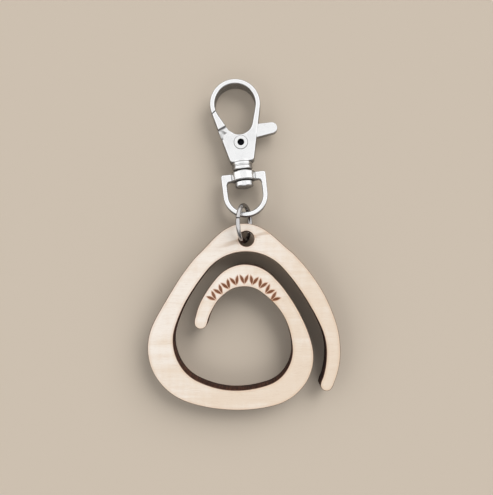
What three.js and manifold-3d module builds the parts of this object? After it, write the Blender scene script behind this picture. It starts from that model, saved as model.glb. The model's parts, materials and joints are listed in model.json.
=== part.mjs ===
// Stitch marker holder: a flat wooden spiral that open stitch markers slide onto, hung by a jump
// ring from a swivel trigger clasp. Millimetres, +Z up, lying on a table as it is laid down:
// +Y runs from the wood towards the clasp's loop, +X is to the right.
import * as THREE from 'three';
import { mergeVertices } from 'three/addons/utils/BufferGeometryUtils.js';
import Module from 'manifold-3d';

const wasm = await Module();
wasm.setup();

// Clearances
const seatGap = 0.3; // between pieces that touch
const runningGap = 0.06; // radial, where a pin or shank turns
const pressGap = 0.02; // radial, where a pin or shank is held fast
const slideGap = 0.15; // beside the lever, in the clasp's slot
const cutMargin = 1; // a cut goes this far past the faces it opens

// Wooden spiral. Its middle line is a chain of arcs that all turn to the left, from the tip of the
// outer tail round to the tip of the inner arm. Each has its radius, its sweep in degrees and the
// width of the wood half way along it.
const woodThickness = 5;
const tailTipWidth = 3.4;
const tailRadius = 22.4;
const tailWidth = 3.8;
const outerRightRadius = 52.2;
const outerRightWidth = 5;
const peakRadius = 16.1;
const peakWidth = 4.6;
const leftSideRadius = 65.9;
const leftSideWidth = 4.8;
const leftCornerRadius = 13.9;
const leftCornerWidth = 7.5;
const bottomRadius = 32.4;
const bottomWidth = 5.5;
const rightCornerRadius = 11.9;
const rightCornerWidth = 6.4;
const innerRightRadius = 28.2;
const innerRightWidth = 4.2;
const innerPeakRadius = 8.7;
const innerPeakWidth = 6.1;
const armRadius = 19.1;
const armWidth = 3.9;
const armTipWidth = 3.5;
const spineHeading = 66.6; // degrees, of the tail at its tip
const spineArcs = [
  { radius: tailRadius, sweep: 45, width: tailWidth },
  { radius: outerRightRadius, sweep: 22, width: outerRightWidth },
  { radius: peakRadius, sweep: 97, width: peakWidth },
  { radius: leftSideRadius, sweep: 17, width: leftSideWidth },
  { radius: leftCornerRadius, sweep: 90, width: leftCornerWidth },
  { radius: bottomRadius, sweep: 40, width: bottomWidth },
  { radius: rightCornerRadius, sweep: 81, width: rightCornerWidth },
  { radius: innerRightRadius, sweep: 43, width: innerRightWidth },
  { radius: innerPeakRadius, sweep: 78, width: innerPeakWidth },
  { radius: armRadius, sweep: 39, width: armWidth },
];
const peakArc = 2;
const peakRise = 3.1; // the outer edge swells by this over the hanging hole
const peakSwellHalfLength = 11.6;
const holeRadius = 2.1;
const holeLand = 2.1; // wood left between the hole and the outer edge
const holeShift = 0.7; // from the swell's middle back towards the tail
const outlineStep = 4; // degrees of turn between outline points, at most

// Jump ring
const ringOuterRadius = 5.5;
const ringWire = 1.2;
const ringLean = 19; // degrees from upright, its top to the left
const ringOffset = -0.6; // of its middle, to the left of the hole
const ringWireSeat = 0.75; // its wire lies this far below the hole's middle
const ringSplitAngle = 79; // degrees round the ring from its far side
const ringSplit = 0.15;
const wireSlope = 1.1; // the sloping wire stands this much taller under the wood than its radius

// Clasp as a whole
const claspYaw = 6.6; // degrees, to the left
const bailPlay = 1.1; // between the bail's bar and the ring's wire, along the chain
const bailShift = 0.98; // the middle of the bail's bar lies this far to the right of the ring's

// Bail: a D strap with a round hub in the middle of its straight side
const bailHalfWidth = 6.2;
const bailStrap = 1.4;
const bailDepth = 2.3;
const bailEdge = 0.5; // rounding of the strap's edges
const bailCorner = 0.9; // inside, beside the hub
const bailChamfer = 0.4; // outside, at the ends of the straight side
const hubChamfer = 0.25;
const bailLegs = 5.3; // from the hub's middle down to where the D's curve starts
const bailShoulder = 0.8; // top of the straight side, above the hub's middle
const bailBar = 2.2; // height of the straight side
const hubRadius = 3.4;
const hubTop = 1.1;
const hubBottom = -1.4;

// Swivel rivet: shank through the hub, head inside the D
const shankRadius = 1.2;
const shankTop = 3.6;
const rivetHeadRadius = 2.5;
const rivetHeadRim = 1.2;
const rivetHeadDome = 0.7;
const rivetDomeSteps = 5;
const rivetHeadEdge = 0.15;

// Hook: a cast loop on a flat hollow body with a round neck
const hookDepth = 4.2;
const throughDepth = 2 * hookDepth; // of a cut that goes right through the casting
const hookEdge = 0.45; // rounding of the casting's edges
const loopRadius = 7;
const loopStrap = 1.35;
const loopCentre = 20.1; // above the hub's middle, as are all places below
const saddleRadius = 3.8;
const saddleCentre = new THREE.Vector2(0.5, 15.2);
const footRight = new THREE.Vector2(3.6, 4.5);
const footLeft = new THREE.Vector2(-3.3, 4.6);
const neckRadius = 2.75;
const neckBottom = 1.75;
const neckTop = 3.75;
const neckEdge = 0.2;
const neckRoot = 0.5; // the neck goes on this far into the body
const neckGrooveFoot = 2.65;
const neckGrooveWidth = 0.4;
const neckGroove = 0.15;
const shoulderInset = 0.2; // how far the body's foot curves draw in, at the side
const neckInset = 0.3; // and at the neck

// Slot through the hook's body, where the gate lever turns
const leverThickness = 2;
const slotFloor = 4.65;
const slotWall = 0.6;
const slotRightSill = 7; // the right side is open above this
const slotLeftSill = 9.7; // the left side is open above this
const slotTop = 14.5;

// Pivot pin
const pivot = new THREE.Vector2(0.38, 9.05);
const pinRadius = 0.93;
const pinHalfLength = 1.5;
const pinChamfer = 0.15;
const rimRadius = 1.8; // raised rim round each end of the pin's hole
const rimHeight = 0.25;

// Gate lever: the arm that closes the loop, and the thumb tab. It turns about the pivot pin, and
// the joint line at the loop's nose lies on a circle about that pin.
const noseCut = 11.45; // radius of the joint between the gate arm and the loop's nose
const gateSweep = [102, 162]; // degrees about the pin that hold the gate arm and nothing else
const gateWayEnd = 166; // degrees about the pin, where the way cut for the arm ends in the body
const armEnd = new THREE.Vector2(-4.45, 13.75); // where the arm's full depth ends, square to it
const armEndSlope = 22.6; // degrees
const armPlateReach = 3.2; // its thinner root begins this far from the pin
const armRootAngle = 137; // degrees about the pin
const armRootDistance = 5.7;
const armRootRadius = 0.75;
const shoulder = new THREE.Vector2(-2.75, 10.45); // middle of the body's round left shoulder
const shoulderRadius = 1.6;
const pinBossRadius = 2.4; // the body's top edge runs from the shoulder over this round the pin
const leverHubRadius = 1.55;
const tabTip = new THREE.Vector2(9.35, 12.5); // middle of the thumb tab's round end
const tabTipRadius = 1.6;
const tabTaper = 8; // degrees, of its underside
const tabEdge = 0.3; // rounding of its edges
const heelHeight = 8; // underside of the lever, where the spring pushes
const tabUnderside = [
  new THREE.Vector2(1.1, heelHeight),
  new THREE.Vector2(3.4, heelHeight),
  new THREE.Vector2(4.6, 10.2),
];
const tabTopside = [
  new THREE.Vector2(5.3, tabTip.y + tabTipRadius),
  new THREE.Vector2(4.4, 12.45),
  new THREE.Vector2(0.8, 10.65),
];

// Gate spring: a short compression coil between the slot's floor and the lever's heel
const springWire = 0.3;
const springMeanRadius = 0.65;
const springWallGap = 0.1; // beside it, to the pocket's right wall
const springPitch = 0.75;
const springSeatGap = 0.15;
const springSteps = 8;
const springSides = 5;

const nickel = new THREE.MeshStandardMaterial({ color: 0xd4d4d6, roughness: 0.22, metalness: 1 });
const darkSteel = new THREE.MeshStandardMaterial({ color: 0x3a3a3c, roughness: 0.5, metalness: 1 });
const springSteel = new THREE.MeshStandardMaterial({ color: 0x9a9a9c, roughness: 0.35, metalness: 1 });
const maple = new THREE.MeshStandardMaterial({ color: 0xe8d3b4, roughness: 0.7, metalness: 0 });

const radians = THREE.MathUtils.degToRad;

// A closed geometry as a solid. Triangles that a lathe closes to nothing on its axis are dropped.
function solidFrom(geometry) {
  const bare = geometry.clone();
  bare.deleteAttribute('normal');
  bare.deleteAttribute('uv');
  const merged = mergeVertices(bare, 1e-4);
  const corners = merged.index.array;
  const kept = [];
  for (let i = 0; i < corners.length; i += 3) {
    const [a, b, c] = [corners[i], corners[i + 1], corners[i + 2]];
    if (a !== b && b !== c && c !== a) kept.push(a, b, c);
  }
  const vertProperties = new Float32Array(merged.attributes.position.array);
  return new wasm.Manifold(
    new wasm.Mesh({ numProp: 3, vertProperties, triVerts: Uint32Array.from(kept) }),
  );
}

// A solid as a named mesh.
function meshFrom(name, solid, material) {
  const { vertProperties, triVerts } = solid.getMesh();
  const geometry = new THREE.BufferGeometry();
  geometry.setAttribute('position', new THREE.BufferAttribute(vertProperties, 3));
  geometry.setIndex(new THREE.BufferAttribute(triVerts, 1));
  geometry.computeVertexNormals();
  const mesh = new THREE.Mesh(geometry, material);
  mesh.name = name;
  return mesh;
}

// A flat outline as a plate of the given depth, centred on its own plane, with rounded edges.
function plate(outline, depth, edge = 0, curveSegments = 20) {
  const geometry = new THREE.ExtrudeGeometry(outline, {
    depth: depth - 2 * edge,
    curveSegments,
    bevelEnabled: edge > 0,
    bevelThickness: edge,
    bevelSize: edge,
    bevelOffset: -edge,
    bevelSegments: 3,
  });
  geometry.translate(0, 0, edge - depth / 2);
  return solidFrom(geometry);
}

// A profile of [radius, height] points turned about the clasp's long axis.
function turned(profile, segments = 48) {
  const points = profile.map(([radius, height]) => new THREE.Vector2(radius, height));
  return solidFrom(new THREE.LatheGeometry(points, segments));
}

// A round pin through the plate's depth at a point, for the pin itself and the holes it fits.
function crossPin(centre, radius, depth, segments = 32) {
  const geometry = new THREE.CylinderGeometry(radius, radius, depth, segments);
  geometry.rotateX(Math.PI / 2);
  geometry.translate(centre.x, centre.y, 0);
  return solidFrom(geometry);
}

// The point where a line from an outside point touches a circle, on its right or left side.
function tangentPoint(outside, centre, radius, side) {
  const away = outside.clone().sub(centre);
  const angle = away.angle() + side * Math.acos(radius / away.length());
  return new THREE.Vector2(Math.cos(angle), Math.sin(angle)).multiplyScalar(radius).add(centre);
}

// The tight outline round two circles.
function beltPath(path, centreA, radiusA, centreB, radiusB) {
  const apart = centreA.clone().sub(centreB);
  const spread = Math.PI / 2 + Math.asin((radiusA - radiusB) / apart.length());
  const right = apart.angle() - spread;
  const left = apart.angle() + spread;
  path.absarc(centreA.x, centreA.y, radiusA, right, left, false);
  path.absarc(centreB.x, centreB.y, radiusB, left, right + 2 * Math.PI, false);
  return path;
}

// A ring sector about the pivot pin between two radii and two angles in degrees.
function pivotSector(innerRadius, outerRadius, fromAngle, toAngle) {
  const sector = new THREE.Shape();
  sector.absarc(pivot.x, pivot.y, outerRadius, radians(fromAngle), radians(toAngle), false);
  sector.absarc(pivot.x, pivot.y, innerRadius, radians(toAngle), radians(fromAngle), true);
  return sector;
}

// A wire of constant thickness along points, mitred at each, with flat ends.
function wire(points, radius, sides) {
  const positions = [];
  const faces = [];
  const along = points.map((point, i) => {
    const before = points[Math.max(i - 1, 0)];
    const after = points[Math.min(i + 1, points.length - 1)];
    return after.clone().sub(before).normalize();
  });
  let across = new THREE.Vector3(1, 0, 0);
  points.forEach((point, i) => {
    across = across.clone().addScaledVector(along[i], -across.dot(along[i])).normalize();
    const other = new THREE.Vector3().crossVectors(along[i], across);
    for (let k = 0; k < sides; k += 1) {
      const angle = (2 * Math.PI * k) / sides;
      const rim = point.clone();
      rim.addScaledVector(across, radius * Math.cos(angle));
      rim.addScaledVector(other, radius * Math.sin(angle));
      positions.push(rim.x, rim.y, rim.z);
    }
  });
  for (let i = 0; i + 1 < points.length; i += 1) {
    for (let k = 0; k < sides; k += 1) {
      const a = i * sides + k;
      const b = i * sides + ((k + 1) % sides);
      faces.push(a, b, b + sides, a, b + sides, a + sides);
    }
  }
  const last = (points.length - 1) * sides;
  for (let k = 1; k + 1 < sides; k += 1) {
    faces.push(0, k + 1, k, last, last + k, last + k + 1);
  }
  const geometry = new THREE.BufferGeometry();
  geometry.setAttribute('position', new THREE.Float32BufferAttribute(positions, 3));
  geometry.setIndex(faces);
  return solidFrom(geometry);
}

// The spiral's middle line as points with their heading and distance along it. marks are the
// distances at its tips and half way along each arc, where its width is given.
function walkSpine() {
  const steps = [];
  const marks = [0];
  let point = new THREE.Vector2();
  let heading = radians(spineHeading);
  let distance = 0;
  steps.push({ point: point.clone(), heading, distance });
  for (const { radius, sweep } of spineArcs) {
    const turn = radians(sweep);
    const toCentre = new THREE.Vector2(-Math.sin(heading), Math.cos(heading));
    const centre = point.clone().addScaledVector(toCentre, radius);
    const count = Math.ceil(sweep / outlineStep);
    for (let i = 1; i <= count; i += 1) {
      const angle = heading + (turn * i) / count;
      const spoke = new THREE.Vector2(Math.sin(angle), -Math.cos(angle));
      point = centre.clone().addScaledVector(spoke, radius);
      const passed = distance + (radius * turn * i) / count;
      steps.push({ point: point.clone(), heading: angle, distance: passed });
    }
    marks.push(distance + (radius * turn) / 2);
    heading += turn;
    distance += radius * turn;
  }
  marks.push(distance);
  return { steps, marks };
}

// Width of the wood at a distance along the spine, eased from each mark to the next.
function bandWidth(distance, marks) {
  const widths = [tailTipWidth, ...spineArcs.map((arc) => arc.width), armTipWidth];
  let span = 0;
  while (span < marks.length - 2 && distance > marks[span + 1]) span += 1;
  const share = THREE.MathUtils.smoothstep(distance, marks[span], marks[span + 1]);
  return THREE.MathUtils.lerp(widths[span], widths[span + 1], share);
}

function peakSwell(distance, marks) {
  const share = (distance - marks[peakArc + 1]) / peakSwellHalfLength;
  return Math.abs(share) < 1 ? (peakRise * (1 + Math.cos(Math.PI * share))) / 2 : 0;
}

// Right-hand normal of a heading, which points out of the spiral.
function outward(heading) {
  return new THREE.Vector2(Math.sin(heading), -Math.cos(heading));
}

// Half circle round a tip of the band, from its outer edge to its inner one or back.
function tipArc(centre, radius, fromAngle, count = 6) {
  const points = [];
  for (let i = 1; i < count; i += 1) {
    const angle = fromAngle + (Math.PI * i) / count;
    points.push(new THREE.Vector2(Math.cos(angle), Math.sin(angle)).multiplyScalar(radius).add(centre));
  }
  return points;
}

// Middle of the hanging hole, in the same plane as the spine.
function holeCentre({ steps, marks }) {
  const middle = marks[peakArc + 1];
  const next = steps.findIndex((step) => step.distance >= middle);
  const [a, b] = [steps[next - 1], steps[next]];
  const share = (middle - a.distance) / (b.distance - a.distance);
  const heading = THREE.MathUtils.lerp(a.heading, b.heading, share);
  const reach = bandWidth(middle, marks) / 2 + peakRise - holeLand - holeRadius;
  const back = new THREE.Vector2(-Math.cos(heading), -Math.sin(heading));
  return a.point.clone().lerp(b.point, share)
    .addScaledVector(outward(heading), reach)
    .addScaledVector(back, holeShift);
}

// The wood, flat on z = 0, with the hanging hole's middle at x = y = 0.
function woodSpiral() {
  const spine = walkSpine();
  const outer = [];
  const inner = [];
  for (const { point, heading, distance } of spine.steps) {
    const half = bandWidth(distance, spine.marks) / 2;
    const normal = outward(heading);
    outer.push(point.clone().addScaledVector(normal, half + peakSwell(distance, spine.marks)));
    inner.push(point.clone().addScaledVector(normal, -half));
  }
  const first = spine.steps[0];
  const last = spine.steps[spine.steps.length - 1];
  const armTip = tipArc(last.point, armTipWidth / 2, last.heading - Math.PI / 2);
  const tailTip = tipArc(first.point, tailTipWidth / 2, first.heading + Math.PI / 2);
  const hole = holeCentre(spine);
  const outline = new THREE.Shape([...outer, ...armTip, ...inner.reverse(), ...tailTip]);
  const round = new THREE.Path();
  round.absarc(hole.x, hole.y, holeRadius, 0, 2 * Math.PI, true);
  outline.holes.push(round);
  return plate(outline, woodThickness).translate([-hole.x, -hole.y, woodThickness / 2]);
}

const ringRadius = ringOuterRadius - ringWire / 2;

class RingLine extends THREE.Curve {
  getPoint(share, target = new THREE.Vector3()) {
    const opening = ringSplit / ringRadius;
    const angle = radians(ringSplitAngle) + opening / 2 + share * (2 * Math.PI - opening);
    return target.set(ringRadius * Math.cos(angle), ringRadius * Math.sin(angle), 0);
  }
}

// The jump ring in its own plane, its far side on +x, with the cut where the wire's ends meet.
function jumpRing() {
  const section = new THREE.Shape();
  section.absarc(0, 0, ringWire / 2, 0, 2 * Math.PI, false);
  const geometry = new THREE.ExtrudeGeometry(section, {
    curveSegments: 6,
    steps: 60,
    extrudePath: new RingLine(),
  });
  return solidFrom(geometry);
}

// The pieces below are in the clasp's own frame: origin in the middle of the hub, +y along the
// clasp to the loop, +z up out of its plane.

function bail() {
  const shell = new THREE.Shape();
  shell.moveTo(bailHalfWidth, -bailLegs);
  shell.lineTo(bailHalfWidth, bailShoulder - bailChamfer);
  shell.lineTo(bailHalfWidth - bailChamfer, bailShoulder);
  shell.lineTo(bailChamfer - bailHalfWidth, bailShoulder);
  shell.lineTo(-bailHalfWidth, bailShoulder - bailChamfer);
  shell.absarc(0, -bailLegs, bailHalfWidth, Math.PI, 2 * Math.PI, false);
  const inside = bailHalfWidth - bailStrap;
  const ceiling = bailShoulder - bailBar;
  const cornerAcross = inside - bailCorner;
  const cornerHeight = ceiling - bailCorner;
  const opening = new THREE.Path();
  opening.absarc(0, -bailLegs, inside, Math.PI, 2 * Math.PI, false);
  opening.absarc(cornerAcross, cornerHeight, bailCorner, 0, Math.PI / 2, false);
  opening.absarc(-cornerAcross, cornerHeight, bailCorner, Math.PI / 2, Math.PI, false);
  shell.holes.push(opening);
  const hub = turned([
    [0, hubBottom], [hubRadius - hubChamfer, hubBottom], [hubRadius, hubBottom + hubChamfer],
    [hubRadius, hubTop - hubChamfer], [hubRadius - hubChamfer, hubTop], [0, hubTop],
  ]);
  const boreRadius = shankRadius + runningGap;
  const boreFoot = hubBottom - cutMargin;
  const boreEnd = hubTop + cutMargin;
  const bore = turned([
    [0, boreFoot], [boreRadius, boreFoot], [boreRadius, boreEnd], [0, boreEnd],
  ]);
  return plate(shell, bailDepth, bailEdge, 18).add(hub).subtract(bore);
}

function swivelRivet() {
  const seat = hubBottom - slideGap;
  const rimEnd = seat - rivetHeadRim;
  const dome = [[0, rimEnd - rivetHeadDome]];
  for (let i = 1; i <= rivetDomeSteps; i += 1) {
    const angle = (Math.PI * i) / (2 * rivetDomeSteps);
    dome.push([rivetHeadRadius * Math.sin(angle), rimEnd - rivetHeadDome * Math.cos(angle)]);
  }
  return turned([
    ...dome,
    [rivetHeadRadius, seat - rivetHeadEdge],
    [rivetHeadRadius - rivetHeadEdge, seat],
    [shankRadius, seat],
    [shankRadius, shankTop],
    [0, shankTop],
  ]);
}

// The whole loop and body in one outline, with the gate arm still part of it.
function hookBlank() {
  const loop = new THREE.Vector2(0, loopCentre);
  const right = tangentPoint(footRight, loop, loopRadius, 1);
  const left = tangentPoint(footLeft, loop, loopRadius, -1);
  const outline = new THREE.Shape();
  outline.moveTo(footRight.x, footRight.y);
  const arcStart = right.clone().sub(loop).angle();
  const arcEnd = left.clone().sub(loop).angle();
  outline.absarc(loop.x, loop.y, loopRadius, arcStart - 2 * Math.PI, arcEnd, false);
  outline.lineTo(footLeft.x, footLeft.y);
  outline.quadraticCurveTo(footLeft.x + shoulderInset, neckTop, neckInset - neckRadius, neckTop);
  outline.lineTo(neckRadius - neckInset, neckTop);
  outline.quadraticCurveTo(footRight.x - shoulderInset, neckTop, footRight.x, footRight.y);
  const opening = beltPath(new THREE.Path(), loop, loopRadius - loopStrap, saddleCentre, saddleRadius);
  outline.holes.push(opening);
  return plate(outline, hookDepth, hookEdge);
}

// How far across the pocket's side wall stands at a height: inside the body's own tapering side.
function slotSide(foot, side, height) {
  const bodySide = THREE.MathUtils.mapLinear(height, foot.y, loopCentre, foot.x, side * loopRadius);
  return bodySide - side * slotWall;
}

// The pocket inside the body, as deep as the lever and its play.
function leverSlot() {
  const far = 2 * loopRadius;
  const outline = new THREE.Shape([
    new THREE.Vector2(slotSide(footLeft, -1, slotFloor), slotFloor),
    new THREE.Vector2(slotSide(footRight, 1, slotFloor), slotFloor),
    new THREE.Vector2(slotSide(footRight, 1, slotRightSill), slotRightSill),
    new THREE.Vector2(far, slotRightSill),
    new THREE.Vector2(far, slotTop),
    new THREE.Vector2(-far, slotTop),
    new THREE.Vector2(-far, slotLeftSill),
    new THREE.Vector2(slotSide(footLeft, -1, slotLeftSill), slotLeftSill),
  ]);
  return plate(outline, leverThickness + 2 * slideGap);
}

function hookCasting(blank) {
  const grooveRadius = neckRadius - neckGroove;
  const grooveSide = neckGrooveWidth / 4;
  const grooveEnd = neckGrooveFoot + neckGrooveWidth;
  const neckEnd = neckTop + neckRoot;
  const neck = turned([
    [0, neckBottom], [neckRadius - neckEdge, neckBottom], [neckRadius, neckBottom + neckEdge],
    [neckRadius, neckGrooveFoot], [grooveRadius, neckGrooveFoot + grooveSide],
    [grooveRadius, grooveEnd - grooveSide], [neckRadius, grooveEnd],
    [neckRadius, neckEnd], [0, neckEnd],
  ]);
  const boreRadius = shankRadius + pressGap;
  const boreFoot = neckBottom - cutMargin;
  const boreEnd = shankTop + pressGap;
  const shankBore = turned([
    [0, boreFoot], [boreRadius, boreFoot], [boreRadius, boreEnd], [0, boreEnd],
  ]);
  const rim = crossPin(pivot, rimRadius, hookDepth + 2 * rimHeight);
  const pinHole = crossPin(pivot, pinRadius + pressGap, throughDepth);
  const waySector = pivotSector(armPlateReach / 2, noseCut, gateSweep[0], gateWayEnd);
  const bodyTop = beltPath(new THREE.Shape(), shoulder, shoulderRadius, pivot, pinBossRadius);
  const gateWay = plate(waySector, throughDepth).subtract(plate(bodyTop, throughDepth + cutMargin));
  return blank.subtract(gateWay).add(neck).add(rim)
    .subtract(leverSlot()).subtract(shankBore).subtract(pinHole);
}

function pivotPin() {
  const half = pinHalfLength;
  const endRadius = pinRadius - pinChamfer;
  const pin = turned([
    [0, -half], [endRadius, -half], [pinRadius, pinChamfer - half],
    [pinRadius, half - pinChamfer], [endRadius, half], [0, half],
  ]);
  return pin.rotate([90, 0, 0]).translate([pivot.x, pivot.y, 0]);
}

function gateLever(blank) {
  const sector = pivotSector(armPlateReach, noseCut - seatGap, ...gateSweep);
  const slope = radians(armEndSlope);
  const square = [-Math.sin(slope), Math.cos(slope), 0];
  const squareOffset = armEnd.x * square[0] + armEnd.y * square[1];
  const arm = blank.intersect(plate(sector, throughDepth)).trimByPlane(square, squareOffset);
  const armPlate = blank.intersect(plate(sector, leverThickness));
  const armRoot = new THREE.Vector2(armRootDistance, 0)
    .rotateAround(new THREE.Vector2(), radians(armRootAngle))
    .add(pivot);
  const rootOutline = new THREE.Shape();
  beltPath(rootOutline, armRoot, armRootRadius, pivot, leverHubRadius);
  const root = plate(rootOutline, leverThickness);
  const taper = radians(tabTaper);
  const thumb = new THREE.Shape([pivot, ...tabUnderside]);
  thumb.absarc(tabTip.x, tabTip.y, tabTipRadius, taper - Math.PI / 2, Math.PI / 2, false);
  for (const point of tabTopside) thumb.lineTo(point.x, point.y);
  const pinHole = crossPin(pivot, pinRadius + runningGap, throughDepth);
  return arm.add(armPlate).add(root).add(plate(thumb, leverThickness, tabEdge)).subtract(pinHole);
}

// Points of the gate spring in the clasp's frame: straight ends along the clasp, and the curls.
function springLine() {
  const low = slotFloor + springSeatGap;
  const high = heelHeight - springSeatGap;
  const wallRoom = springWallGap + springMeanRadius + springWire / 2;
  const across = slotSide(footRight, 1, slotFloor) - wallRoom;
  const curls = (high - low - 2 * springWire) / springPitch;
  const count = Math.round(curls * springSteps);
  const place = (turns, height) => new THREE.Vector3(
    across + springMeanRadius * Math.cos(2 * Math.PI * turns),
    height,
    springMeanRadius * Math.sin(2 * Math.PI * turns),
  );
  const points = [place(0, low)];
  for (let i = 0; i <= count; i += 1) {
    const turns = i / springSteps;
    points.push(place(turns, low + springWire + ((high - low - 2 * springWire) * i) / count));
  }
  points.push(place(count / springSteps, high));
  return points;
}

// Least space between stretches of the spring that lie more than half a curl apart.
function leastCurlGap(points) {
  let least = Infinity;
  for (let i = 0; i < points.length; i += 1) {
    for (let k = i + springSteps / 2; k < points.length; k += 1) {
      least = Math.min(least, points[i].distanceTo(points[k]) - springWire);
    }
  }
  return least;
}

// Lays a group's plane on new axes, with its origin at a place.
function lay(group, xAxis, yAxis, origin) {
  const zAxis = new THREE.Vector3().crossVectors(xAxis, yAxis);
  group.matrix.makeBasis(xAxis, yAxis, zAxis);
  group.matrix.setPosition(origin);
  group.matrix.decompose(group.position, group.quaternion, group.scale);
  return group;
}

// The ring stands on the table and leans, and goes round the land of wood above the hole.
const lean = radians(ringLean);
const ringHeight = ringRadius * Math.cos(lean) + ringWire / 2;
const ringPlace = new THREE.Vector3(ringOffset, ringRadius - ringWireSeat, ringHeight);
const ring = lay(
  new THREE.Group(),
  new THREE.Vector3(0, 1, 0),
  new THREE.Vector3(-Math.sin(lean), 0, Math.cos(lean)),
  ringPlace,
);
ring.add(meshFrom('jump_ring', jumpRing(), nickel));

// The ring's lower side lifts the wood's top end, and its bottom edge stays on the table.
const wood = new THREE.Group();
const woodSolid = woodSpiral();
const woodFoot = -woodSolid.boundingBox().min[1];
const crossing = ringPlace.y - holeRadius;
const dip = Math.sqrt(ringRadius ** 2 - crossing ** 2) * Math.cos(lean);
const woodLift = ringHeight - dip + (ringWire / 2) * wireSlope + seatGap;
wood.rotation.x = Math.asin(woodLift / (woodFoot + holeRadius));
wood.position.z = woodFoot * Math.sin(wood.rotation.x);
wood.add(meshFrom('wood_spiral', woodSolid, maple));

// The clasp lies on its hub and on the far end of its loop.
const clasp = new THREE.Group();
const claspReach = bailLegs + bailHalfWidth - bailStrap / 2;
const barFromRing = ringRadius - ringWire / 2 - bailPlay - bailStrap / 2;
const claspDip = Math.asin((hubRadius - hookDepth / 2) / (loopCentre + loopRadius - hookEdge));
clasp.rotation.set(-claspDip, 0, radians(claspYaw), 'ZXY');
clasp.position.set(
  ringPlace.x + bailShift - claspReach * Math.sin(radians(claspYaw)),
  ringPlace.y + barFromRing + claspReach * Math.cos(radians(claspYaw)),
  hubRadius,
);
const blank = hookBlank();
const springPoints = springLine();
clasp.add(meshFrom('swivel_bail', bail(), nickel));
clasp.add(meshFrom('swivel_rivet', swivelRivet(), nickel));
clasp.add(meshFrom('hook_body', hookCasting(blank), nickel));
clasp.add(meshFrom('gate_lever', gateLever(blank), nickel));
clasp.add(meshFrom('pivot_pin', pivotPin(), darkSteel));
clasp.add(meshFrom('gate_spring', wire(springPoints, springWire / 2, springSides), springSteel));
console.log(`gate spring: least gap to itself ${leastCurlGap(springPoints).toFixed(3)} mm`);

// The origin is on the table, in the middle of the footprint.
const holder = new THREE.Group();
holder.add(wood, ring, clasp);
holder.updateMatrixWorld(true);
const footprint = new THREE.Box3().setFromObject(holder, true);
const middle = footprint.getCenter(new THREE.Vector3());
holder.position.set(-middle.x, -middle.y, -footprint.min.z);
holder.updateMatrixWorld(true);

export default holder;
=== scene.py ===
"""Looks of the stitch marker holder: a laser-cut wooden spiral on a nickel-plated swivel clasp."""

import json
import math

import bmesh
import bpy
import numpy as np
from bpy.props import FloatProperty, FloatVectorProperty, IntProperty, PointerProperty
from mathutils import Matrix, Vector
from mathutils.bvhtree import BVHTree
from mathutils.geometry import delaunay_2d_cdt


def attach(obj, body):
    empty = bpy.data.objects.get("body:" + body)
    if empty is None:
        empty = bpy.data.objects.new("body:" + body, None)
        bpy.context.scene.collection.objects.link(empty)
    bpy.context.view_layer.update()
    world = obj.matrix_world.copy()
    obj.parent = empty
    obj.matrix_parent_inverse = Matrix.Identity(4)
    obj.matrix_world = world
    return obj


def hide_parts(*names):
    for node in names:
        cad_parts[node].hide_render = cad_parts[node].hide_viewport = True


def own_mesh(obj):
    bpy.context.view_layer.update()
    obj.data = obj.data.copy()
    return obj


bl_info = {
    "name": "Stitch Marker Holder",
    "version": (1, 0, 0),
    "blender": (4, 5, 0),
    "location": "3D View > Sidebar > Marker Holder",
    "description": "Builds the finished pieces of the stitch marker holder round its CAD frame",
    "category": "Add Mesh",
}

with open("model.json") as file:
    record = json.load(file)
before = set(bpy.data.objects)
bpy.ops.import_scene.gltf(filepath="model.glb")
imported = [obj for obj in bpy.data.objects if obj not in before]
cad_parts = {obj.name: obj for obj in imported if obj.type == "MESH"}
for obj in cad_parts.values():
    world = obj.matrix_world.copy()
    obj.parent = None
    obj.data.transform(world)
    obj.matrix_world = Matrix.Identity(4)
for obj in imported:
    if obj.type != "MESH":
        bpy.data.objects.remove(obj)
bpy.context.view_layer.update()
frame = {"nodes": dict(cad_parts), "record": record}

MM = 0.001
WELD = 0.001 * MM
CIRCLE = 2 * math.pi


def colour(code):
    """A colour written as on screen, such as 0xE8D3B4, as Blender's linear values."""
    parts = [(code >> shift & 255) / 255 for shift in (16, 8, 0)]
    return [part / 12.92 if part < 0.04045 else ((part + 0.055) / 1.055) ** 2.4 for part in parts]


def length_property(name, millimetres, description):
    return FloatProperty(
        name=name,
        description=description,
        default=millimetres * MM,
        precision=5,
        unit="LENGTH",
    )


def colour_property(name, code, description):
    return FloatVectorProperty(
        name=name,
        description=description,
        default=colour(code),
        size=3,
        min=0,
        max=1,
        subtype="COLOR",
    )


def share_property(name, default, description):
    return FloatProperty(
        name=name,
        description=description,
        default=default,
        min=0,
        max=1,
        subtype="FACTOR",
    )


def angle_property(name, degrees, description):
    return FloatProperty(
        name=name,
        description=description,
        default=math.radians(degrees),
        subtype="ANGLE",
    )


class WoodSettings(bpy.types.PropertyGroup):
    """Sizes and colours of the laser-cut spiral."""

    edge: length_property("Edge", 0.08, "Rounding where the faces meet the cut walls")
    step: length_property("Step", 0.4, "Spacing of the outline's points")
    cell: length_property("Cell", 0.9, "Spacing of the points inside the faces")
    pale: colour_property("Pale", 0xF5EBE0, "Palest wood between the fibres")
    warm: colour_property("Warm", 0xEAD8C4, "Warmer bands of the grain")
    fibre: colour_property("Fibre", 0xC4A382, "Thin fibres and pores")
    growth: colour_property("Growth line", 0xB0885F, "Brown growth line that passes the hole")
    scorch: colour_property("Scorch", 0x6B4427, "Wood browned by the laser beside a cut")
    glow: colour_property("Glow", 0xCFA274, "Faint tan further from a cut")
    char: colour_property("Char", 0x2E1D17, "Darkest part of the cut walls")
    ember: colour_property("Ember", 0x56372A, "Lightest streaks of the cut walls")


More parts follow.
